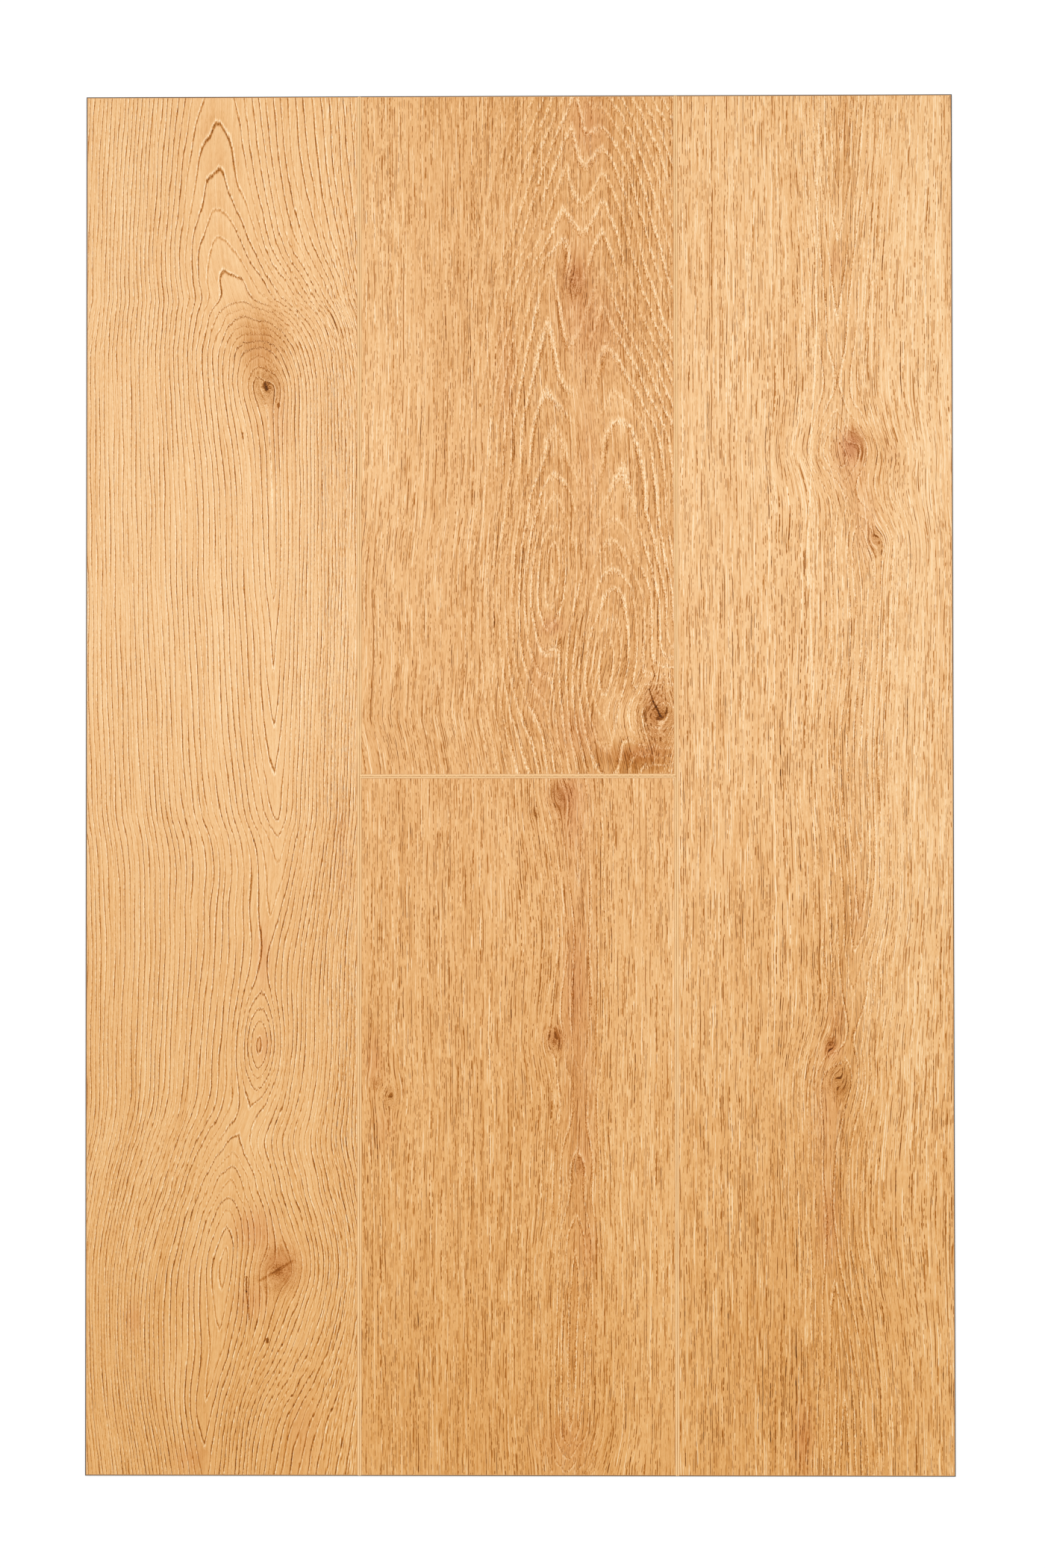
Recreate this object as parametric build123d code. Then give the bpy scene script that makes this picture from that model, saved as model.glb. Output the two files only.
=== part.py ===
from build123d import *
import os

# A sample panel of rigid vinyl floor planks: four planks clicked together as on a floor and
# trimmed to one rectangle. The printed face is up, +Y runs along the planks and +X across
# them. The origin is the middle of the underside. All sizes are in millimetres.

# Faces of the planks, from joint to joint or from joint to trimmed edge
plank_width = 229.0  # a plank of full width, as in the middle column
left_width = 198.0  # the left plank, ripped to width
right_width = 200.0  # the right plank, ripped to width
upper_length = 493.0  # middle column above its end joint
lower_length = 504.0  # middle column below its end joint
thickness = 5.0

# Edges of the printed face
bevel_width = 1.3  # micro-bevel along every joint, so two of them make the V-groove
bevel_depth = 0.5
arris = 0.7  # chamfer along the trimmed outside of the panel

# Click profile: a tongue in a groove, and a hooked lower lip that keeps them together
upper_lip = 1.6  # from the printed face down to the tongue
lower_lip = 1.4  # from the underside up to the tongue
tongue_reach = 2.2  # from the joint to the tongue's nose
nose_radius = 0.6
lip_reach = 5.2  # from the joint to the end of the lower lip
hook_width = 1.7  # at its foot
hook_height = 0.6
hook_slope = 0.3  # run of each slanted flank
hook_setback = 0.5  # from the hook's foot to the end of the lip
clearance = 0.05  # between the profiles, apart from the joint faces, which meet

panel_width = left_width + plank_width + right_width
panel_length = lower_length + upper_length

# Section of one edge: the joint is at x = 0 with the plank on its -x side, and y is height


def corner_cut(width, depth):
    """The triangle that a bevel takes off the top corner of an edge."""
    top_corner = (0, thickness)
    return Polygon(top_corner, (-width, thickness), (0, thickness - depth), align=None)


def tongue():
    """The tongue, with its nose rounded as far as its thickness allows."""
    low = lower_lip + clearance
    high = thickness - upper_lip - clearance
    blank = Pos(0, low) * Rectangle(tongue_reach, high - low, align=Align.MIN)
    nose = blank.vertices().group_by(Axis.X)[-1]
    half_thickness = (high - low) / 2
    return fillet(nose, min(nose_radius, half_thickness - clearance))


def hooked_lip():
    """The lower lip that reaches under the next plank, and the hook along its end."""
    lip = Rectangle(lip_reach, lower_lip, align=Align.MIN)
    foot_end = lip_reach - hook_setback
    foot_start = foot_end - hook_width
    hook_top = lower_lip + hook_height
    hook = Polygon(
        (foot_start, lower_lip),
        (foot_end, lower_lip),
        (foot_end - hook_slope, hook_top),
        (foot_start + hook_slope, hook_top),
        align=None,
    )
    return lip + hook


def room_for(profile):
    """What the facing profile needs in this plank: its mirror image, grown by the clearance."""
    return mirror(offset(profile, clearance, kind=Kind.INTERSECTION), about=Plane.YZ)


# Each kind of edge is a milling step on a section whose edge is at x = 0


def tongue_edge(blank):
    return blank + tongue() - room_for(hooked_lip()) - corner_cut(bevel_width, bevel_depth)


def groove_edge(blank):
    return blank + hooked_lip() - room_for(tongue()) - corner_cut(bevel_width, bevel_depth)


def trimmed_edge(blank):
    return blank - corner_cut(arris, arris)


def section(low, high, low_edge, high_edge):
    """A plank's section, milled at its high edge, then turned over and milled at its low edge."""
    width = high - low
    blank = Pos(-width) * Rectangle(width, thickness, align=Align.MIN)
    turned = mirror(Pos(width) * high_edge(blank), about=Plane.YZ)
    return Pos(low) * mirror(low_edge(turned), about=Plane.YZ)


def plank(sides, side_edges, ends, end_edges):
    """A plank milled along both sides and across both ends: the solid common to both runs.

    Where a hook of one run crosses a tongue of the other, a loose offcut falls away.
    """
    milled_along = extrude(Plane.XZ * section(*sides, *side_edges), panel_length, both=True)
    milled_across = extrude(Plane.YZ * section(*ends, *end_edges), panel_width, both=True)
    return (milled_along & milled_across).solids().sort_by(SortBy.VOLUME)[-1]


left_side = -panel_width / 2
left_joint = left_side + left_width
right_joint = left_joint + plank_width
right_side = right_joint + right_width
bottom_end = -panel_length / 2
end_joint = bottom_end + lower_length
top_end = end_joint + upper_length

full_run = (bottom_end, top_end)
middle_column = (left_joint, right_joint)
trimmed_ends = (trimmed_edge, trimmed_edge)
click_sides = (tongue_edge, groove_edge)

planks = {
    "left_plank": plank(
        (left_side, left_joint), (trimmed_edge, groove_edge), full_run, trimmed_ends
    ),
    "upper_middle_plank": plank(
        middle_column, click_sides, (end_joint, top_end), (tongue_edge, trimmed_edge)
    ),
    "lower_middle_plank": plank(
        middle_column, click_sides, (bottom_end, end_joint), (trimmed_edge, groove_edge)
    ),
    "right_plank": plank(
        (right_joint, right_side), (tongue_edge, trimmed_edge), full_run, trimmed_ends
    ),
}

os.makedirs("parts", exist_ok=True)
for name, solid in planks.items():
    solid.label = name
    export_step(solid, f"parts/{name}.step")
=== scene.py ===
import math
from dataclasses import dataclass, field

import bpy
import numpy as np
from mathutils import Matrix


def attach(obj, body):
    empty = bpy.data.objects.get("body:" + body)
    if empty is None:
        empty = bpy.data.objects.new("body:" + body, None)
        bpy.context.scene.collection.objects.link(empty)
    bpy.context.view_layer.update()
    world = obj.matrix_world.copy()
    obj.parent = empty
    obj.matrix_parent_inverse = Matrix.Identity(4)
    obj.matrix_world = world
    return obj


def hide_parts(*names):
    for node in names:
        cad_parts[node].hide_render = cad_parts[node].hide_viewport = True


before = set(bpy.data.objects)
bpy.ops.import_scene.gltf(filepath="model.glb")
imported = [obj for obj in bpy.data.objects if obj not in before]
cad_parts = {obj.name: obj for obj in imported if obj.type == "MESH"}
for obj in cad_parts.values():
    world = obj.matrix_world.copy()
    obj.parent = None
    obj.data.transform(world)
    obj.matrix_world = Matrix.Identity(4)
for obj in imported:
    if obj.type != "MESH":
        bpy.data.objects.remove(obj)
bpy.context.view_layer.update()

# A panel of four vinyl planks with an oak print. Each plank is a copy of its CAD node whose plain
# face is replaced by a fine grid with the embossed grain, coloured by a procedural oak print.
# The print's places are in millimetres in the panel's frame: x across the planks, y along them.

MM = 0.001  # metres in a millimetre


# What the print of one plank is made of


@dataclass
class Heart:
    """A line that the growth rings lie round; where it comes near the face they draw a flame or an eye."""

    axis: float  # its mean place across the panel
    line: list  # (place up the panel, place across it), from the bottom up
    depth: list  # (place up the panel, how deep the line lies under the face)
    bend_reach: tuple = (60.0, 60.0)  # how far to the left and right its bends are felt
    depth_reach: tuple = (90.0, 90.0)  # how far to the left and right its depth is felt
    side_scale: tuple = (1.0, 1.0)  # above 1, the rings to the left or right are that much closer
    lift: float = 0.0  # added to its distance, to set one heart against another
    roundness: tuple = ((-500, 1.4), (500, 1.4))  # of the flame tips up the panel: 1 is pointed, 2 is round


@dataclass
class Plank:
    """The print of one plank."""

    node: str
    cells: tuple  # grid cells across and along
    hearts: list
    ring_width: float  # near the heart
    far_ring_width: float  # where the rings stand upright in the plank
    change: float  # distance from the heart where one width gives way to the other
    ring_reach: float = 45.0  # how far beside the heart the rings are clear
    knots: list = field(default_factory=list)  # (x, y, radius, length against width, darkness)
    bulges: list = field(default_factory=list)  # (x, y, half width, half length, how far the fibres bend left)
    eyes: list = field(default_factory=list)  # (x, y, half width, half length, depth)
    # Warm or pale spots: tints of the wood, and painted light where a pale spot spans the whole plank's upper part
    tints_and_painted_light: list = field(default_factory=list)  # (x, y, half width, half length, how warm, or below 0 how pale)
    # Spots of added darkness: marks of the wood, and painted shade where a spot spans the whole plank towards its
    # bottom end
    marks_and_painted_shade: list = field(default_factory=list)  # (x, y, half width, half length, added darkness)
    plain: list = field(default_factory=list)  # (x, y, half width, half length, how far the rings are lost)
    cracks: list = field(default_factory=list)  # (x, y, x, y, width, strength)
    flecks: list = field(default_factory=list)  # (place across, how flecky the print is there)
    tone: float = 0.0  # added darkness
    dark: float = 0.5  # strength of the dark line in each ring
    pale: float = 0.4  # strength of the pale line beside it
    jag: float = 4.0  # how ragged the rings are at the flame tips, in millimetres
    pore_band: float = 0.12  # half width of the pale band of pores in each ring, in rings
    solid: float = 0.3  # how solid the dark lines are between their dots
    streak: float = 0.35  # strength of the long streaks
    late: float = 0.06  # how much a ring darkens from its pale line outwards
    fine: float = 0.95  # strength of the fine dashes all over
    pitch: float = 1.5  # of the lanes that the dashes lie in
    dash_length: float = 28.0  # from one dash in a lane to the next
    seed: int = 1


LEFT = Plank(
    node="left_plank",
    cells=(272, 343),
    seed=1,
    pitch=1.8,
    dash_length=20.0,
    fine=0.32,
    solid=0.65,
    pore_band=0.09,
    late=0.15,
    ring_width=3.2,
    far_ring_width=2.6,
    change=45.0,
    ring_reach=200.0,
    jag=4.0,
    tone=-0.01,
    dark=1.2,
    pale=0.5,
    hearts=[
        Heart(
            axis=-190,
            line=[(-500, -234), (-453, -230), (-403, -214), (-344, -206), (-280, -206), (-259, -204),
                  (-233, -194), (-189, -188), (-152, -186), (-93, -179), (-57, -174), (4, -176),
                  (129, -177), (244, -180), (287, -184), (309, -187), (330, -191), (357, -204),
                  (384, -215), (417, -219), (450, -221), (498, -219)],
            depth=[(-500, 19), (-478, 17), (-453, 14), (-403, 10.5), (-376, 7.5), (-344, 5), (-319, 9.5),
                   (-306, 12.8), (-297, 16), (-283, 19.2), (-274, 22.4), (-259, 26.5), (-187, 27.5),
                   (-111, 27.5), (-93, 25.6), (-57, 22.4), (-37, 19.2), (-26, 16), (4, 12.8), (41, 9.6),
                   (84, 6.4), (129, 3.2), (147, 1), (190, 0), (287, 0), (300, 5), (309, 8), (316, 11.2),
                   (321, 14.4), (327, 17.6), (332, 20.8), (338, 24), (343, 27.2), (348, 30.4), (366, 33.6),
                   (389, 36.8), (412, 40), (446, 43.2), (498, 48)],
            bend_reach=(75, 60),
            depth_reach=(400, 400),
            side_scale=(0.85, 1.0),
            roundness=((-500, 1.5), (230, 1.5), (300, 2.0), (500, 2.0)),
        )
    ],
    eyes=[(-187, -189, 10, 22, 12), (-207, 432, 6, 16, -1.6), (-192, 330, 5, 20, -2)],
    knots=[(-182, 287, 11, 1.3, 0.5), (-174, -351, 16, 1.1, 0.4)],
    tints_and_painted_light=[(-187, 317, 13, 17, 0.12), (-174, 261, 9, 22, 0.15), (-228, 473, 6, 14, 0.08),
             (-203, 452, 10, 6, 0.05), (-290, 400, 25, 120, -0.03), (-185, -123, 4, 18, 0.18),
             (-185, -189, 4, 8, 0.15), (-172, -347, 10, 11, 0.2), (-191, -321, 10, 10, 0.2),
             (-193, -373, 8, 9, 0.15), (-128, -32, 6, 22, 0.1), (-126, -71, 5, 10, 0.07),
             (-193, -252, 6, 20, -0.1), (-279, -386, 4, 8, 0.15), (-238, -364, 5, 14, 0.04),
             (-238, -485, 8, 8, 0.13), (-157, -468, 8, 18, 0.08), (-247, -424, 10, 20, -0.07),
             # The two pale spots that span the whole plank are painted light, lighter towards its top end
             (-215, 300, 200, 250, -0.06), (-215, 90, 120, 110, -0.05)],
    bulges=[(-275, -385, 32, 65, 16)],
    plain=[(-174, -351, 11, 12, 0.9)],
    # The first spot, across the whole plank at its bottom end, is painted shade; the second darkens the rings above
    # the knot
    marks_and_painted_shade=[(-215, -470, 90, 80, 0.08), (-187, 320, 14, 18, 0.25)],
    flecks=[(-150, 0.0), (-136, 1.0), (-116, 1.0)],
    cracks=[(-197, -355, -197, -366, 0.6, 0.8), (-197, -366, -195, -386, 0.5, 0.6),
            (-187, -358, -164, -344, 1.0, 0.3), (-182, -400, -182, -402, 1.2, 0.8),
            (-184, 289, -183, 286, 1.6, 0.6), (-174, 275, -174, 273, 1.2, 0.5),
            (-200, 254, -200, 250, 0.7, 0.5)],
)

UPPER = Plank(
    node="upper_middle_plank",
    cells=(314, 296),
    seed=2,
    ring_width=4.8,
    far_ring_width=4.6,
    change=55.0,
    tone=0.14,
    dark=0.55,
    pale=0.65,
    pore_band=0.22,
    late=0.15,
    jag=9.0,
    ring_reach=45.0,
    dash_length=24.0,
    hearts=[
        Heart(
            axis=26,
            line=[(7, 21), (66, 21), (114, 24), (154, 26), (209, 27), (259, 25), (282, 22), (330, 22),
                  (369, 26), (394, 33), (417, 33), (498, 42)],
            depth=[(7, 38), (66, 24), (98, 14), (114, 10), (128, 5), (154, 0), (176, 5), (190, 10),
                   (209, 14), (225, 19), (259, 24), (282, 29), (330, 34), (369, 38), (394, 43), (417, 48),
                   (460, 55), (498, 62)],
            depth_reach=(400, 400),
            roundness=((7, 1.8), (250, 1.8), (330, 1.35), (500, 1.25)),
        ),
        Heart(
            axis=68,
            line=[(7, 68), (102, 68), (138, 70), (173, 68), (188, 70), (219, 75), (257, 73), (278, 70),
                  (325, 62), (372, 59), (419, 60), (498, 60)],
            depth=[(7, 19), (50, 10), (88, 2), (102, 5), (119, 10), (138, 14), (152, 19), (173, 24),
                   (188, 29), (219, 34), (257, 38), (278, 43), (314, 48), (346, 54), (372, 59), (395, 63),
                   (419, 68), (460, 77), (498, 89)],
            depth_reach=(400, 400),
            roundness=((7, 1.8), (250, 1.8), (330, 1.35), (500, 1.25)),
            lift=-20,
        ),
        Heart(
            axis=102,
            line=[(7, 102), (498, 102)],
            depth=[(7, 34), (28, 17), (49, 0), (70, 17), (130, 65), (498, 360)],
            depth_reach=(1000, 1000),
            roundness=((-500, 2.0), (500, 2.0)),
            lift=-19,
        ),
    ],
    plain=[(48, 250, 9, 75, 1.0)],
    marks_and_painted_shade=[(88, 16, 22, 8, 0.3), (42, 365, 7, 18, 0.08)],
    knots=[(40, 362, 6, 1.8, 0.3), (102, 49, 18, 1.2, 0.35)],
    tints_and_painted_light=[(-60, 250, 40, 200, -0.06), (-104, 290, 22, 200, -0.12), (-10, 295, 6, 40, 0.1), (50, 229, 6, 50, 0.05),
             (41, 367, 5, 7, 0.12), (41, 362, 10, 25, 0.1), (55, 330, 16, 20, 0.1),
             (50, 477, 10, 18, 0.14), (14, 76, 7, 22, 0.08), (42, 37, 12, 12, 0.12),
             (98, 54, 6, 16, 0.12), (85, 22, 16, 5, 0.16), (74, 46, 8, 14, -0.15),
             (72, 205, 8, 14, -0.07), (72, 270, 8, 10, -0.1), (24, 114, 6, 4, 0.19)],
    cracks=[(96, 85, 98, 78, 0.5, 0.5), (98, 78, 94, 68, 0.5, 0.5), (94, 68, 97, 59, 0.6, 0.6),
            (97, 59, 102, 49, 0.8, 0.7), (102, 33, 102, 31, 0.8, 0.5), (-28, 274.5, -28, 273.5, 0.8, 0.5),
            (-19, 157.5, -19, 156.5, 0.7, 0.4)],
)

LOWER = Plank(
    node="lower_middle_plank",
    cells=(314, 296),
    seed=3,
    ring_width=5.0,
    far_ring_width=2.4,
    change=25.0,
    tone=0.09,
    ring_reach=25.0,
    dark=0.65,
    pale=0.5,
    dash_length=24.0,
    hearts=[
        Heart(
            axis=39,
            line=[(-500, 33), (-467, 36), (-398, 38), (-329, 40), (-276, 41), (-225, 42), (-186, 41),
                  (-106, 44), (-44, 40), (7, 34)],
            depth=[(-500, 20), (-478, 10), (-467, 5), (-454, 3.5), (-398, 2), (-349, 3), (-329, 5),
                   (-306, 10), (-276, 12), (-225, 15), (-186, 10), (-106, 11), (-44, 7.5), (7, 5)],
            bend_reach=(40, 40),
            depth_reach=(40, 40),
            roundness=((-500, 1.5), (500, 1.5)),
        )
    ],
    # The first spot, across the whole plank at its bottom end, is painted shade; the second is a brown streak along
    # the heart
    marks_and_painted_shade=[(0, -460, 90, 60, 0.06), (42, -200, 7, 120, 0.08)],
    knots=[(30, -10, 8, 1.5, 0.3), (12, -21, 3, 1.5, 0.2), (25, -186, 7, 1.5, 0.4),
           (-103, -216, 4, 1.5, 0.2), (-93, -226, 6, 1.5, 0.25), (43, -276, 4, 1.6, 0.3)],
    tints_and_painted_light=[(34, -8, 8, 10, 0.2), (38, -32, 6, 12, 0.1), (40, -148, 6, 28, 0.13),
             (26, -183, 5, 6, 0.15), (46, -239, 7, 40, 0.04), (46, -273, 4, 8, 0.08),
             (50, -334, 5, 12, 0.12), (-105, -200, 5, 12, 0.13), (-98, -248, 6, 10, 0.08),
             (33, -476, 14, 14, 0.1), (90, -250, 18, 180, -0.1), (29, -465, 4, 4, 0.05),
             (45, -200, 10, 180, 0.06)],
)

RIGHT = Plank(
    node="right_plank",
    cells=(272, 343),
    seed=4,
    ring_width=4.6,
    far_ring_width=2.4,
    change=30.0,
    ring_reach=32.0,
    fine=1.1,
    tone=-0.01,
    dark=0.7,
    pale=0.5,
    hearts=[
        Heart(
            axis=235,
            line=[(-500, 234), (-428, 233), (-391, 230), (-317, 224), (-214, 229), (-160, 240), (-123, 241),
                  (-97, 245), (28, 244), (109, 250), (175, 250), (239, 234), (266, 232), (325, 231),
                  (426, 232), (498, 234)],
            depth=[(-500, 1), (-428, 5), (-391, 9), (-349, 15), (-268, 16), (-214, 14), (-182, 20),
                   (-160, 18), (-123, 14), (-97, 9), (-53, 5), (28, 2), (109, 3), (175, 5), (206, 15),
                   (217, 14), (239, 5), (260, 14), (276, 19), (325, 18), (384, 14), (426, 9), (454, 5),
                   (498, 2)],
            bend_reach=(45, 60),
            depth_reach=(45, 60),
        )
    ],
    # The first two spots, across the whole plank in its lower half, are painted shade, darker towards the bottom
    # end; the last two are brown streaks along the heart
    marks_and_painted_shade=[(215, -470, 90, 110, 0.15), (215, -230, 90, 130, 0.08), (232, -100, 7, 160, 0.1),
            (237, 420, 7, 70, 0.12)],
    knots=[(243, 246, 8, 1.5, 0.25), (258, 175, 8, 1.3, 0.1), (224, -188, 4, 1.5, 0.6),
           (230, -214, 8, 1.5, 0.1)],
    tints_and_painted_light=[(290, 0, 20, 500, -0.08), (240, 244, 6, 8, 0.3), (238, 232, 12, 20, 0.15),
             (253, 184, 9, 22, 0.15), (270, 240, 6, 14, 0.14), (229, 378, 5, 12, 0.15),
             (236, 470, 7, 20, 0.07), (232, 410, 5, 10, -0.18), (245, -92, 5, 14, 0.11),
             (225, -192, 4, 5, 0.18), (229, -170, 5, 14, 0.1), (221, -239, 8, 30, 0.1),
             (223, -317, 5, 20, 0.18), (204, -472, 5, 18, 0.2), (275, -150, 14, 90, -0.07),
             # The last spot on the next line, pale over the whole plank's upper part, is painted light
             (301, -198, 8, 8, -0.08), (215, 280, 200, 200, -0.06)],
    cracks=[(224, -299, 224, -318, 0.6, 0.25), (260, 174.5, 260, 173.5, 0.8, 0.5),
            (217, 480, 215, 330, 0.6, -0.3), (215, 330, 209, 180, 0.7, -0.35),
            (209, 180, 212, 60, 0.6, -0.3), (212, 60, 214, -80, 0.5, -0.25),
            (220, 440, 219, 300, 0.5, 0.25), (213, 270, 206, 150, 0.5, 0.25)],
)

PLANKS = [LEFT, UPPER, LOWER, RIGHT]


# The growth rings as smooth fields over the face, worked out at the grid's points


def curve(points, place):
    """A smooth curve through (place, value) points, level beyond its ends."""
    at, value = np.array(points, float).T
    slope = np.gradient(value, at)
    place = np.clip(place, at[0], at[-1])
    i = np.clip(np.searchsorted(at, place) - 1, 0, len(at) - 2)
    run = at[i + 1] - at[i]
    u = (place - at[i]) / run
    rise = (3 - 2 * u) * u * u
    start_slope = u * (1 - u) ** 2 * run * slope[i]
    end_slope = u * u * (u - 1) * run * slope[i + 1]
    return value[i] + rise * (value[i + 1] - value[i]) + start_slope + end_slope


def fading(offset, reach):
    """1 on a heart's axis, falling off to the left and right by their own reaches."""
    return np.exp(-((offset / np.where(offset < 0, *reach)) ** 2))


def fibre_place(x, y, plank):
    """The place across the grain, x pushed aside where the fibres part round a knot."""
    place = x + spots(x, y, plank.bulges)
    for knot_x, knot_y, radius, length, _ in plank.knots:
        dx = x - knot_x
        dy = (y - knot_y) / length
        place -= radius**2 * dx / (dx**2 + dy**2 + radius**2)
    return place


def ring_distance(heart, place, y):
    """How far the ring at a point of the face is from the heart, the fibre's lean there and the way off its line."""
    offset = place - heart.axis
    bend = curve(heart.line, y) - heart.axis
    sideways = offset - bend * fading(offset, heart.bend_reach)
    depth = np.maximum(curve(heart.depth, y), 0) * fading(offset, heart.depth_reach)
    parting = 0.5 * np.minimum(depth, 30.0) * np.tanh(sideways / (0.7 * depth + 4.0))
    lean = parting - 0.6 * bend * fading(offset, heart.bend_reach)
    sideways = np.abs(sideways) * np.where(sideways < 0, *heart.side_scale)
    power = np.interp(y, *zip(*heart.roundness))
    return (sideways**power + depth**power) ** (1 / power) + heart.lift, lean, sideways


def nearest(distances, blend):
    """The smallest of several distances, blended over a short way where two are alike."""
    least = np.min(distances, axis=0)
    return least - blend * np.log(sum(np.exp((least - d) / blend) for d in distances))


DARK_LINE = 0.4  # where the dark line lies in a ring


def ring_count(plank, distance):
    """The number of rings in a distance, of one width near the heart and another far from it."""
    blend = 8.0
    near, far = 1 / plank.ring_width, 1 / plank.far_ring_width
    past = (distance - plank.change) / blend
    count = distance * near + blend * np.logaddexp(0, past) * (far - near)
    return count + DARK_LINE


def spots(x, y, rows):
    """Soft oval spots added up, each (x, y, half width, half length, strength)."""
    total = np.zeros_like(x)
    for spot_x, spot_y, half_width, half_length, strength in rows:
        u = (x - spot_x) / half_width
        v = (y - spot_y) / half_length
        total += strength * np.exp(-0.5 * (u * u + v * v))
    return total


def drift(x, y, seed, across, along):
    """A slow seeded unevenness of about -1 to 1, with the given wave lengths."""
    random = np.random.default_rng(seed)
    total = np.zeros_like(x)
    waves = 9
    for _ in range(waves):
        turns_across, turns_along = random.normal(0, 1, 2)
        phase = random.uniform(0, 2 * math.pi)
        total += np.sin(2 * math.pi * (x * turns_across / across + y * turns_along / along) + phase)
    return total / math.sqrt(waves)


def grain(plank, x, y):
    """The fibre's place, the ring count and how clear the rings are, at points of the face."""
    place = fibre_place(x, y, plank)
    measured = [ring_distance(heart, place, y) for heart in plank.hearts]
    distances, leans, sideways = zip(*measured)
    distance = nearest(distances, 4.0)
    distance -= spots(x, y, plank.eyes)
    distance += 0.5 * drift(x, y, plank.seed, 40.0, 160.0)
    clear = np.exp(-((np.min(sideways, axis=0) / plank.ring_reach) ** 2))
    clear *= 1 - np.clip(spots(x, y, plank.plain), 0, 1)
    return place + np.mean(leans, axis=0), ring_count(plank, distance), clear


# The planks' meshes

GRID_INSET = 0.4 * MM  # strip of plain face round the grid
EMBOSS = 0.02 * MM  # depth of the embossed grain
PRINT, BEVEL, CORE, BACKING = range(4)  # material slots of a plank


def cad_shell(node):
    """A CAD node's points and faces, welded, without its flat face, and that face's corners in order."""
    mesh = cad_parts[node].data
    top = max(v.co.z for v in mesh.vertices)
    numbers, points, faces = {}, [], []
    own = []
    for v in mesh.vertices:
        key = tuple(round(c / MM, 4) for c in v.co)
        if key not in numbers:
            numbers[key] = len(points)
            points.append(tuple(v.co))
        own.append(numbers[key])
    corners = set()
    for polygon in mesh.polygons:
        face = [own[i] for i in polygon.vertices]
        if polygon.normal.z > 0.99 and polygon.center.z > top - 0.01 * MM:
            corners.update(face)
        else:
            faces.append((face, polygon.normal.copy()))
    middle = np.mean([points[i] for i in corners], axis=0)
    turn = lambda i: math.atan2(points[i][1] - middle[1], points[i][0] - middle[0])
    return points, faces, sorted(corners, key=turn)


def shell_slot(normal, height):
    """The material of a CAD face, told by its slope: the bevels are flatter than the trimmed arris."""
    if normal.z > 0.85 and height > 4 * MM:
        return BEVEL
    if normal.z < -0.99 and height < 0.1 * MM:
        return BACKING
    return CORE


def face_grid(low, high, cells):
    """Points of the printed face's grid in rows from the bottom up, and its quads."""
    across = np.linspace(low[0] + GRID_INSET, high[0] - GRID_INSET, cells[0] + 1)
    along = np.linspace(low[1] + GRID_INSET, high[1] - GRID_INSET, cells[1] + 1)
    x, y = (a.ravel() for a in np.meshgrid(across, along))
    row = cells[0] + 1
    start = (np.arange(cells[1])[:, None] * row + np.arange(cells[0])).ravel()
    return x, y, np.stack([start, start + 1, start + row + 1, start + row], axis=1)


def skirts(corners, first, cells):
    """The four strips between the face's corners and the grid, as many-sided faces."""
    columns, rows = cells[0] + 1, cells[1] + 1
    ids = first + np.arange(columns * rows).reshape(rows, columns)
    bottom_left, bottom_right, top_right, top_left = corners
    return [
        [bottom_left, bottom_right, *ids[0, ::-1]],
        [bottom_right, top_right, *ids[::-1, -1]],
        [top_right, top_left, *ids[-1, :]],
        [top_left, bottom_left, *ids[:, 0]],
    ]


def embossing(plank, x, y, place, rings):
    """Depth of the embossed grain: grooves along the rings, broken up along the fibre, none at the border."""
    groove = 0.5 - 0.5 * np.cos(2 * math.pi * rings)
    broken = 0.6 + 0.4 * drift(place, y, plank.seed + 20, 9.0, 60.0)
    border = np.minimum.reduce([x - x.min(), x.max() - x, y - y.min(), y.max() - y])
    return EMBOSS * np.clip(groove * broken, 0, 1) * np.clip(border / 3.0, 0, 1)


def ring_slopes(plank, x, y, rings):
    """1 where the rings run across the plank, as at flame tips, or 0 where along it, and their width on the face."""
    shape = (plank.cells[1] + 1, plank.cells[0] + 1)
    step_x, step_y = x[1] - x[0], y[shape[1]] - y[0]
    along, across = np.gradient(rings.reshape(shape), step_y, step_x)
    slope = np.hypot(along, across) + 1e-6
    widest = 40.0
    return np.abs(along / slope).ravel(), np.minimum(1 / slope, widest).ravel()


def add_vectors(mesh, name, *columns):
    """A named vector at each point of a mesh, which the print's nodes read."""
    attribute = mesh.attributes.new(name, "FLOAT_VECTOR", "POINT")
    attribute.data.foreach_set("vector", np.stack(columns, axis=1).astype(np.float32).ravel())


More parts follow.
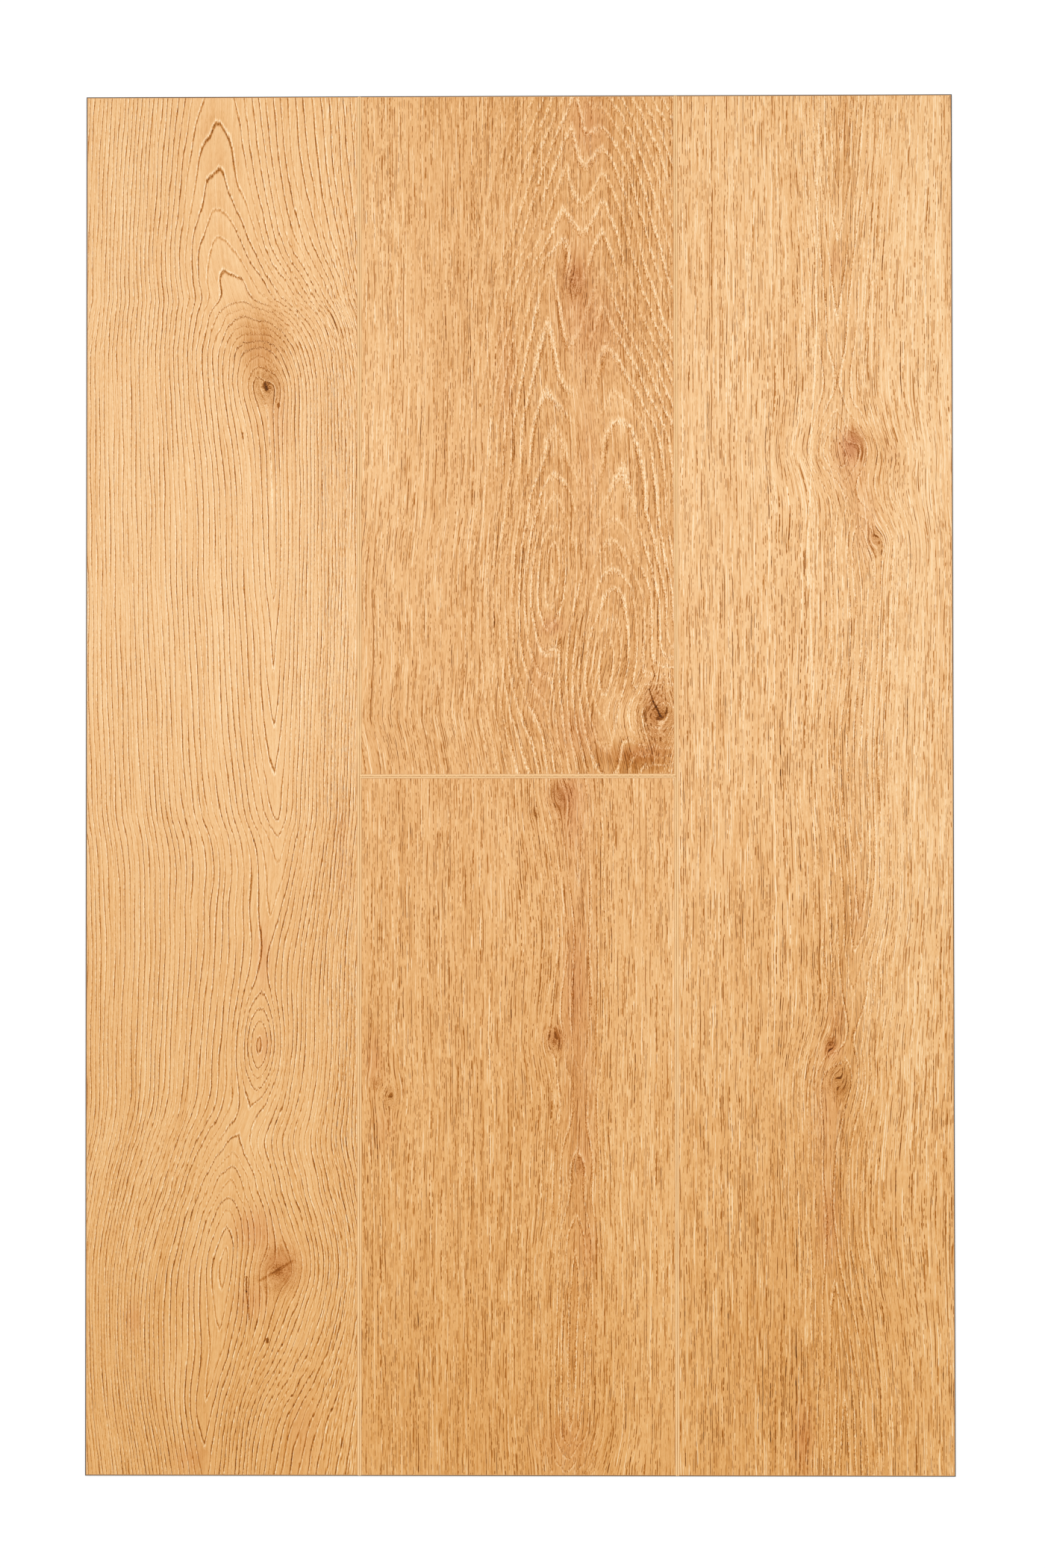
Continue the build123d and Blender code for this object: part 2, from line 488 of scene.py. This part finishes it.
def make_plank(plank, materials):
    """The plank's piece: its CAD shape with the printed and embossed face."""
    points, shell, corners = cad_shell(plank.node)
    low, high = points[corners[0]], points[corners[2]]
    x, y, quads = face_grid(low, high, plank.cells)
    place, rings, _ = grain(plank, x / MM, y / MM)
    z = low[2] - embossing(plank, x / MM, y / MM, place, rings)
    first = len(points)
    tips, width = ring_slopes(plank, x / MM, y / MM, rings)
    tips = np.concatenate([np.zeros(first), tips])
    width = np.concatenate([np.full(first, plank.ring_width), width])
    everywhere = np.concatenate([np.array(points), np.stack([x, y, z], axis=1)])
    strips = skirts(corners, first, plank.cells)
    faces = [face for face, _ in shell] + strips + (quads + first).tolist()
    mesh = bpy.data.meshes.new(plank.node + "_printed")
    mesh.from_pydata(everywhere.tolist(), [], faces)
    heights = [np.mean([points[i][2] for i in face]) for face, _ in shell]
    slots = [shell_slot(normal, height) for (_, normal), height in zip(shell, heights)]
    slots += [BEVEL] * len(strips) + [PRINT] * len(quads)
    mesh.polygons.foreach_set("material_index", slots)
    mesh.polygons.foreach_set("use_smooth", [slot == PRINT for slot in slots])
    across, along = everywhere[:, 0] / MM, everywhere[:, 1] / MM
    place, rings, clear = grain(plank, across, along)
    add_vectors(mesh, "grain", place, along, rings)
    add_vectors(mesh, "place", across, along, everywhere[:, 2] / MM)
    # Tints of the wood, and painted light from the broad pale spots over the top end
    patch = spots(across, along, plank.tints_and_painted_light)
    fleck = curve(plank.flecks, across) if plank.flecks else np.zeros_like(across)
    add_vectors(mesh, "tint", patch, fleck, width)
    # Marks of the wood, and painted shade from the broad spots towards the bottom end
    shade = spots(across, along, plank.marks_and_painted_shade)
    add_vectors(mesh, "flow", tips, clear, shade)
    for material in materials:
        mesh.materials.append(material)
    piece = bpy.data.objects.new(plank.node + "_printed", mesh)
    bpy.context.collection.objects.link(piece)
    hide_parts(plank.node)
    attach(piece, "root")
    return piece


# Materials


def linear(red, green, blue):
    """A colour as seen on a screen, 0 to 255, as the linear colour that nodes take."""
    channels = [c / 255 for c in (red, green, blue)]
    light = [c / 12.92 if c <= 0.04045 else ((c + 0.055) / 1.055) ** 2.4 for c in channels]
    return (*light, 1.0)


class Graph:
    """Short ways to add nodes to one material."""

    def __init__(self, name):
        self.material = bpy.data.materials.new(name)
        self.material.use_nodes = True
        self.tree = self.material.node_tree
        self.shader = self.tree.nodes["Principled BSDF"]

    def put(self, socket, value):
        """Links a socket, or sets a number or vector on it."""
        if isinstance(value, bpy.types.NodeSocket):
            self.tree.links.new(value, socket)
        elif value is not None:
            socket.default_value = value

    def math(self, operation, a, b=None, c=None):
        node = self.tree.nodes.new("ShaderNodeMath")
        node.operation = operation
        for socket, value in zip(node.inputs, (a, b, c)):
            self.put(socket, value)
        return node.outputs[0]

    def add(self, *values):
        total = values[0]
        for value in values[1:]:
            total = self.math("ADD", total, value)
        return total

    def times(self, a, b):
        return self.math("MULTIPLY", a, b)

    def step(self, value, low, high, out_low=0.0, out_high=1.0):
        """A smooth step from out_low to out_high as the value goes from low to high."""
        node = self.tree.nodes.new("ShaderNodeMapRange")
        node.interpolation_type = "SMOOTHSTEP"
        for name, number in (("From Min", low), ("From Max", high), ("To Min", out_low), ("To Max", out_high)):
            node.inputs[name].default_value = number
        self.put(node.inputs["Value"], value)
        return node.outputs["Result"]

    def vector(self, x, y, z):
        node = self.tree.nodes.new("ShaderNodeCombineXYZ")
        for socket, value in zip(node.inputs, (x, y, z)):
            self.put(socket, value)
        return node.outputs[0]

    def parts(self, name):
        """The three numbers of a named vector of the mesh."""
        node = self.tree.nodes.new("ShaderNodeAttribute")
        node.attribute_name = name
        return self.split(node.outputs["Vector"])

    def noise(self, vector, detail=1.0, roughness=0.5, dimensions="3D"):
        node = self.tree.nodes.new("ShaderNodeTexNoise")
        node.noise_dimensions = dimensions
        self.put(node.inputs["Vector"], vector)
        node.inputs["Scale"].default_value = 1.0
        node.inputs["Detail"].default_value = detail
        node.inputs["Roughness"].default_value = roughness
        return node.outputs[0]

    def cells(self, vector):
        """Cells scattered over a plane: the middle of the cell at a point and three random numbers of its own."""
        node = self.tree.nodes.new("ShaderNodeTexVoronoi")
        node.voronoi_dimensions = "2D"
        node.inputs["Scale"].default_value = 1.0
        self.put(node.inputs["Vector"], vector)
        return self.split(node.outputs["Position"]), self.split(node.outputs["Color"])

    def split(self, vector):
        node = self.tree.nodes.new("ShaderNodeSeparateXYZ")
        self.put(node.inputs[0], vector)
        return node.outputs

    def ramp(self, value, stops):
        """A colour from (place, colour) stops."""
        node = self.tree.nodes.new("ShaderNodeValToRGB")
        elements = node.color_ramp.elements
        while len(elements) < len(stops):
            elements.new(0.5)
        for element, (place, colour) in zip(elements, stops):
            element.position = place
            element.color = colour
        self.put(node.inputs[0], value)
        return node.outputs[0]

    def tint(self, colour, filter_colour):
        """A colour seen through a filter."""
        node = self.tree.nodes.new("ShaderNodeVectorMath")
        node.operation = "MULTIPLY"
        self.put(node.inputs[0], colour)
        self.put(node.inputs[1], filter_colour)
        return node.outputs[0]

    def bump(self, height, strength, distance):
        node = self.tree.nodes.new("ShaderNodeBump")
        node.inputs["Strength"].default_value = strength
        node.inputs["Distance"].default_value = distance
        self.put(node.inputs["Height"], height)
        self.put(self.shader.inputs["Normal"], node.outputs[0])


def spread(graph, value, amount):
    """A noise value, which lies about 0.5, as an unevenness about 0."""
    return graph.math("MULTIPLY_ADD", value, amount, -0.5 * amount)


def streaks(graph, fibre, along, across_size, along_size, seed, detail=1.0):
    """Noise drawn out along the fibre, with its sizes in millimetres."""
    u = graph.math("MULTIPLY_ADD", fibre, 1 / across_size, 71.3 * seed)
    v = graph.times(along, 1 / along_size)
    return graph.noise(graph.vector(u, v, 0.0), detail, dimensions="2D")


def band(graph, lanes, centre, half_width, soft=0.6):
    """1 in the middle of a line that is drawn in every lane, 0 outside its half width."""
    off = graph.math("SUBTRACT", graph.math("FRACT", graph.math("SUBTRACT", lanes, centre - 0.5)), 0.5)
    across = graph.math("DIVIDE", graph.math("ABSOLUTE", off), half_width)
    return graph.step(across, 1.0 - soft, 1.0, 1.0, 0.0)


def lane_noise(graph, lanes, along, length, seed):
    """Noise along each lane, another in each."""
    lane = graph.math("MULTIPLY_ADD", graph.math("FLOOR", lanes), 7.31, 53.7 * seed)
    return graph.noise(graph.vector(lane, graph.times(along, 1 / length), 0.0), 1.0, dimensions="2D")


TONES = [
    (0.000, linear(247, 217, 172)),
    (0.125, linear(239, 195, 136)),
    (0.250, linear(228, 171, 100)),
    (0.375, linear(207, 141, 62)),
    (0.500, linear(176, 106, 34)),
    (0.750, linear(118, 64, 20)),
    (1.000, linear(66, 36, 16)),
]


# What a warm patch leaves of red, green and blue light, by its warmth
WARMTH = [
    (0.00, (1.00, 1.00, 1.00, 1.0)),
    (0.25, (0.88, 0.70, 0.55, 1.0)),
    (0.50, (0.75, 0.48, 0.30, 1.0)),
    (1.00, (0.55, 0.25, 0.12, 1.0)),
]


def knot_tone(graph, knot, place, wobble):
    """Added darkness of one knot: its own fine rings and a dark heart."""
    x, y, radius, length, darkness = knot
    across = graph.math("DIVIDE", graph.math("SUBTRACT", place[0], x), radius)
    along = graph.math("DIVIDE", graph.math("SUBTRACT", place[1], y), radius * length)
    off = graph.math("SQRT", graph.add(graph.times(across, across), graph.times(along, along)))
    off = graph.add(off, wobble)
    inside = graph.step(off, 0.7, 1.3, 1.0, 0.0)
    rings = graph.times(band(graph, graph.times(off, 4.5), 0.5, 0.3), graph.times(inside, 0.4))
    heart = graph.step(off, 0.05, 0.35, darkness, 0.0)
    return graph.add(rings, heart)


def crack_tone(graph, crack, place, wobble):
    """Added darkness of one crack, a straight stroke with ragged sides."""
    x, y, end_x, end_y, width, strength = crack
    run_x, run_y = end_x - x, end_y - y
    across = graph.math("SUBTRACT", place[0], x)
    along = graph.math("SUBTRACT", place[1], y)
    square = run_x**2 + run_y**2
    reach = graph.add(graph.times(across, run_x / square), graph.times(along, run_y / square))
    reach = graph.math("MINIMUM", graph.math("MAXIMUM", reach, 0.0), 1.0)
    off_x = graph.math("SUBTRACT", across, graph.times(reach, run_x))
    off_y = graph.math("SUBTRACT", along, graph.times(reach, run_y))
    off = graph.math("SQRT", graph.add(graph.times(off_x, off_x), graph.times(off_y, off_y)))
    return graph.step(graph.add(off, wobble), 0.5 * width, 1.3 * width, strength, 0.0)


def strokes(graph, fibre, along, pitch, length, seed):
    """Strokes scattered along the fibre: the way off the nearest one in millimetres, a taper and random numbers."""
    u = graph.math("MULTIPLY_ADD", fibre, 1 / pitch, 17.3 * seed)
    v = graph.math("MULTIPLY_ADD", along, 1 / length, 9.7 * seed)
    middle, chance = graph.cells(graph.vector(u, v, 0.0))
    off = graph.times(graph.math("SUBTRACT", u, middle[0]), pitch)
    past = graph.math("ABSOLUTE", graph.math("SUBTRACT", v, middle[1]))
    return off, graph.step(past, 0.2, 0.5, 1.0, 0.0), chance


def ridge(graph, off, middle, half_width):
    """1 on a thin line beside a stroke's middle, falling to 0 at its half width."""
    return graph.step(graph.math("ABSOLUTE", graph.math("SUBTRACT", off, middle)), 0.3 * half_width, half_width, 1.0, 0.0)


def pore_tone(graph, fibre, along, pitch, length, half_width, seed):
    """Pores drawn as thin dark strokes, each with a pale one beside it."""
    off, taper, chance = strokes(graph, fibre, along, pitch, length, seed)
    side = graph.math("SIGN", graph.math("SUBTRACT", chance[1], 0.35))
    pale = ridge(graph, graph.times(off, side), 1.6 * half_width, 1.2 * half_width)
    pair = graph.math("SUBTRACT", ridge(graph, off, 0.0, half_width), graph.times(pale, 0.75))
    return graph.times(graph.times(pair, taper), graph.step(chance[0], 0.2, 1.0, 0.25, 1.0))


def dashes(graph, fibre, along, pitch, length, half_width, seed):
    """Thin dashes along the fibre in even lanes: 1 in the middle of a dash and 0 beside it, sizes in millimetres."""
    lanes = graph.times(fibre, 1 / pitch)
    drawn = graph.step(lane_noise(graph, lanes, along, length, seed), 0.42, 0.58, 0.05, 1.0)
    kept = graph.step(lane_noise(graph, lanes, along, 12.0 * length, seed + 0.5), 0.38, 0.6, 0.2, 1.0)
    line = band(graph, lanes, 0.5, graph.times(drawn, half_width / pitch), 0.7)
    return graph.times(line, graph.times(drawn, kept))


def print_tone(graph, plank):
    """Darkness of the oak print with broad painted light and shade in it, from 0 for the palest wood to 2 for the
    darkest knot, its warmth and its dashes.
    """
    fibre, along, rings = graph.parts("grain")
    patch, fleck, ring_width = graph.parts("tint")
    place = graph.parts("place")
    tip, clear, shade = graph.parts("flow")
    seed = 10.0 * plank.seed
    uneven = spread(graph, streaks(graph, fibre, along, 3.5, 250.0, seed + 14), 1.4)
    swayed = graph.add(fibre, spread(graph, streaks(graph, fibre, along, 8.0, 30.0, seed), 1.5), uneven)
    fine = streaks(graph, swayed, along, 0.6, 5.0, seed + 1)
    slow = streaks(graph, fibre, along, 14.0, 180.0, seed + 2, 2.0)
    streak = streaks(graph, fibre, along, 1.6, 150.0, seed + 3, 2.0)
    calm = graph.math("MULTIPLY_ADD", tip, -0.6, 1.0)
    length = plank.dash_length
    dark_dashes = graph.times(dashes(graph, swayed, along, plank.pitch, length, 0.34, seed + 4), calm)
    short_dashes = dashes(graph, swayed, along, 0.8 * plank.pitch, 0.2 * length, 0.28, seed + 5)
    pale_dashes = dashes(graph, swayed, along, plank.pitch, 1.4 * length, 0.34, seed + 6)
    flecks = pore_tone(graph, swayed, along, 1.4, 9.0, 0.32, seed + 7)
    comb = spread(graph, streaks(graph, fibre, along, 0.7, 12.0, seed + 8), 1.0)
    wavy = spread(graph, streaks(graph, fibre, along, 5.0, 45.0, seed + 9), 1.5)
    jag = graph.add(graph.times(comb, graph.math("MULTIPLY_ADD", tip, plank.jag, 0.2)), wavy)
    shifted = graph.add(rings, graph.math("DIVIDE", jag, ring_width))
    half = graph.math("MINIMUM", graph.add(graph.math("DIVIDE", 0.4, ring_width), plank.pore_band), 0.3)
    drawn = graph.step(lane_noise(graph, shifted, along, 80.0, seed + 10), 0.35, 0.55, 0.5, 1.0)
    seen = graph.times(clear, drawn)
    pores = graph.step(streaks(graph, place[0], along, 0.6, 2.6, seed + 11), 0.42, 0.58, 0.1, 1.0)
    pale_band = graph.times(graph.times(band(graph, shifted, DARK_LINE, half, 0.9), seen), pores)
    dots = graph.step(streaks(graph, place[0], along, 0.7, 1.4, seed + 12), 0.48, 0.6, plank.solid, 1.0)
    beside = graph.add(shifted, graph.times(half, graph.math("MULTIPLY_ADD", tip, -0.5, 0.8)))
    dark_line = graph.times(band(graph, beside, DARK_LINE, graph.times(half, 0.8), 1.0), graph.times(seen, dots))
    late = graph.math("SUBTRACT", graph.math("FRACT", graph.math("SUBTRACT", shifted, 0.45)), 0.5)
    ragged = spread(graph, streaks(graph, place[0], place[1], 1.0, 1.0, seed + 13), 1.2)
    knots = [knot_tone(graph, knot, place, ragged) for knot in plank.knots]
    cracks = [crack_tone(graph, crack, place, ragged) for crack in plank.cracks]
    total = graph.add(
        0.45 + plank.tone,
        spread(graph, fine, 0.25),
        graph.times(dark_dashes, 0.75 * plank.fine),
        graph.times(short_dashes, 0.7 * plank.fine),
        graph.times(pale_dashes, -0.5 * plank.fine),
        graph.times(flecks, graph.times(fleck, 0.5)),
        spread(graph, slow, 0.18),
        spread(graph, streak, plank.streak),
        graph.times(graph.times(late, clear), -plank.late),
        graph.times(dark_line, plank.dark),
        graph.times(pale_band, -plank.pale),
        # Pale tints and dark marks of the wood, with the broad painted light over the top end and painted shade
        # towards the bottom end
        graph.math("MINIMUM", patch, 0.0),
        shade,
        *knots,
        *cracks,
    )
    return total, patch, dark_dashes


def print_material(plank):
    """The printed oak face of one plank under its matt wear layer, which has less sheen over the pores."""
    graph = Graph(plank.node + "_oak_print")
    tone, warmth, pores = print_tone(graph, plank)
    colour = graph.tint(graph.ramp(graph.times(tone, 0.5), TONES), graph.ramp(warmth, WARMTH))
    graph.put(graph.shader.inputs["Base Color"], colour)
    graph.put(graph.shader.inputs["Roughness"], graph.step(tone, 0.2, 1.2, 0.4, 0.48))
    graph.put(graph.shader.inputs["Specular IOR Level"], graph.step(tone, 0.5, 1.1, 0.5, 0.05))
    graph.bump(graph.times(pores, -1.0), 0.05, 0.03 * MM)
    return graph.material


def bevel_material():
    """The painted micro-bevel: a dark line at the face, a pale slope and a brown seam in the joint."""
    graph = Graph("painted_bevel")
    height = graph.parts("place")[2]
    along = graph.parts("place")[1]
    uneven = spread(graph, graph.noise(graph.vector(graph.parts("place")[0], graph.times(along, 0.06), 3.0)), 0.2)
    level = graph.math("SUBTRACT", graph.add(height, uneven), 4.0)
    seam, pale, line = linear(196, 140, 82), linear(247, 207, 150), linear(212, 156, 96)
    stops = [(0.50, seam), (0.58, seam), (0.64, pale), (0.90, pale), (0.97, line)]
    graph.put(graph.shader.inputs["Base Color"], graph.ramp(level, stops))
    graph.shader.inputs["Roughness"].default_value = 0.5
    return graph.material


def core_material():
    """The stone-filled core, which shows on the trimmed edges and in the milled profiles."""
    graph = Graph("vinyl_core")
    grit = graph.noise(graph.vector(*[graph.times(p, 2.5) for p in graph.parts("place")]), 3.0)
    stops = [(0.3, linear(40, 31, 25)), (0.7, linear(66, 53, 43))]
    graph.put(graph.shader.inputs["Base Color"], graph.ramp(grit, stops))
    graph.put(graph.shader.inputs["Roughness"], graph.step(grit, 0.3, 0.7, 0.6, 0.75))
    graph.bump(grit, 0.3, 0.1 * MM)
    return graph.material


def backing_material():
    """The plain grey underside."""
    graph = Graph("vinyl_backing")
    across, along, _ = graph.parts("place")
    grit = graph.noise(graph.vector(graph.times(across, 0.8), graph.times(along, 0.8), 1.0), 3.0)
    stops = [(0.3, linear(150, 146, 140)), (0.7, linear(168, 164, 158))]
    graph.put(graph.shader.inputs["Base Color"], graph.ramp(grit, stops))
    graph.put(graph.shader.inputs["Roughness"], graph.step(grit, 0.3, 0.7, 0.65, 0.8))
    graph.bump(grit, 0.25, 0.1 * MM)
    return graph.material


bevel, core, backing = bevel_material(), core_material(), backing_material()
for plank in PLANKS:
    make_plank(plank, [print_material(plank), bevel, core, backing])


# Stage: a white floor, soft light that is a little stronger from the panel's top end, and the camera


def floor_material():
    """White to the camera and in reflections, with the panel's soft shadow on it."""
    material = bpy.data.materials.new("white_floor")
    material.use_nodes = True
    nodes, links = material.node_tree.nodes, material.node_tree.links
    nodes.remove(nodes["Principled BSDF"])
    output = nodes["Material Output"]
    plain = nodes.new("ShaderNodeBsdfDiffuse")
    plain.inputs["Color"].default_value = (0.8, 0.8, 0.8, 1)
    shadowed = nodes.new("ShaderNodeBsdfDiffuse")
    shadowed.inputs["Color"].default_value = (0.3, 0.3, 0.3, 1)
    glow = nodes.new("ShaderNodeEmission")
    glow.inputs["Strength"].default_value = 0.75
    seen = nodes.new("ShaderNodeAddShader")
    links.new(shadowed.outputs[0], seen.inputs[0])
    links.new(glow.outputs[0], seen.inputs[1])
    path = nodes.new("ShaderNodeLightPath")
    mirrored = nodes.new("ShaderNodeMath")
    mirrored.operation = "MAXIMUM"
    links.new(path.outputs["Is Camera Ray"], mirrored.inputs[0])
    links.new(path.outputs["Is Glossy Ray"], mirrored.inputs[1])
    clear = nodes.new("ShaderNodeMath")
    clear.operation = "MAXIMUM"
    links.new(mirrored.outputs[0], clear.inputs[0])
    links.new(path.outputs["Is Transmission Ray"], clear.inputs[1])
    mix = nodes.new("ShaderNodeMixShader")
    links.new(clear.outputs[0], mix.inputs[0])
    links.new(plain.outputs[0], mix.inputs[1])
    links.new(seen.outputs[0], mix.inputs[2])
    links.new(mix.outputs[0], output.inputs["Surface"])
    return material


def make_floor():
    half = 60.0
    mesh = bpy.data.meshes.new("floor")
    corners = [(-half, -half, 0), (half, -half, 0), (half, half, 0), (-half, half, 0)]
    mesh.from_pydata(corners, [], [(0, 1, 2, 3)])
    mesh.materials.append(floor_material())
    floor = bpy.data.objects.new("floor", mesh)
    bpy.context.collection.objects.link(floor)


def area_light(name, place, aim, size, energy):
    """A rectangular soft light at a place, turned to a point."""
    light = bpy.data.lights.new(name, "AREA")
    light.shape = "RECTANGLE"
    light.size, light.size_y = size
    light.energy = energy
    lamp = bpy.data.objects.new(name, light)
    bpy.context.collection.objects.link(lamp)
    lamp.location = place
    from mathutils import Vector
    lamp.rotation_euler = (Vector(aim) - Vector(place)).to_track_quat("-Z", "Y").to_euler()


def make_world(strength):
    world = bpy.data.worlds.new("studio")
    world.use_nodes = True
    background = world.node_tree.nodes["Background"]
    background.inputs["Color"].default_value = (1, 1, 1, 1)
    background.inputs["Strength"].default_value = strength
    bpy.context.scene.world = world


def make_camera():
    """The photograph's view: straight down on the panel, a little off its middle."""
    data = bpy.data.cameras.new("camera")
    data.lens = 85.0
    data.sensor_width = 36.0
    camera = bpy.data.objects.new("camera", data)
    bpy.context.collection.objects.link(camera)
    camera.location = (0.0377, -0.0464, 2.6772)
    camera.rotation_euler = [math.radians(angle) for angle in (0.99, 0.757, -0.051)]
    bpy.context.scene.camera = camera


make_floor()
make_world(0.3)
area_light("softbox", (0.0, 0.55, 2.8), (0.0, 0.55, 0.0), (2.6, 1.4), 58.0)
area_light("end_fill", (0.0, -2.4, 1.6), (0.0, -0.3, 0.0), (2.0, 0.8), 24.0)
make_camera()
bpy.context.scene.view_settings.view_transform = "Standard"
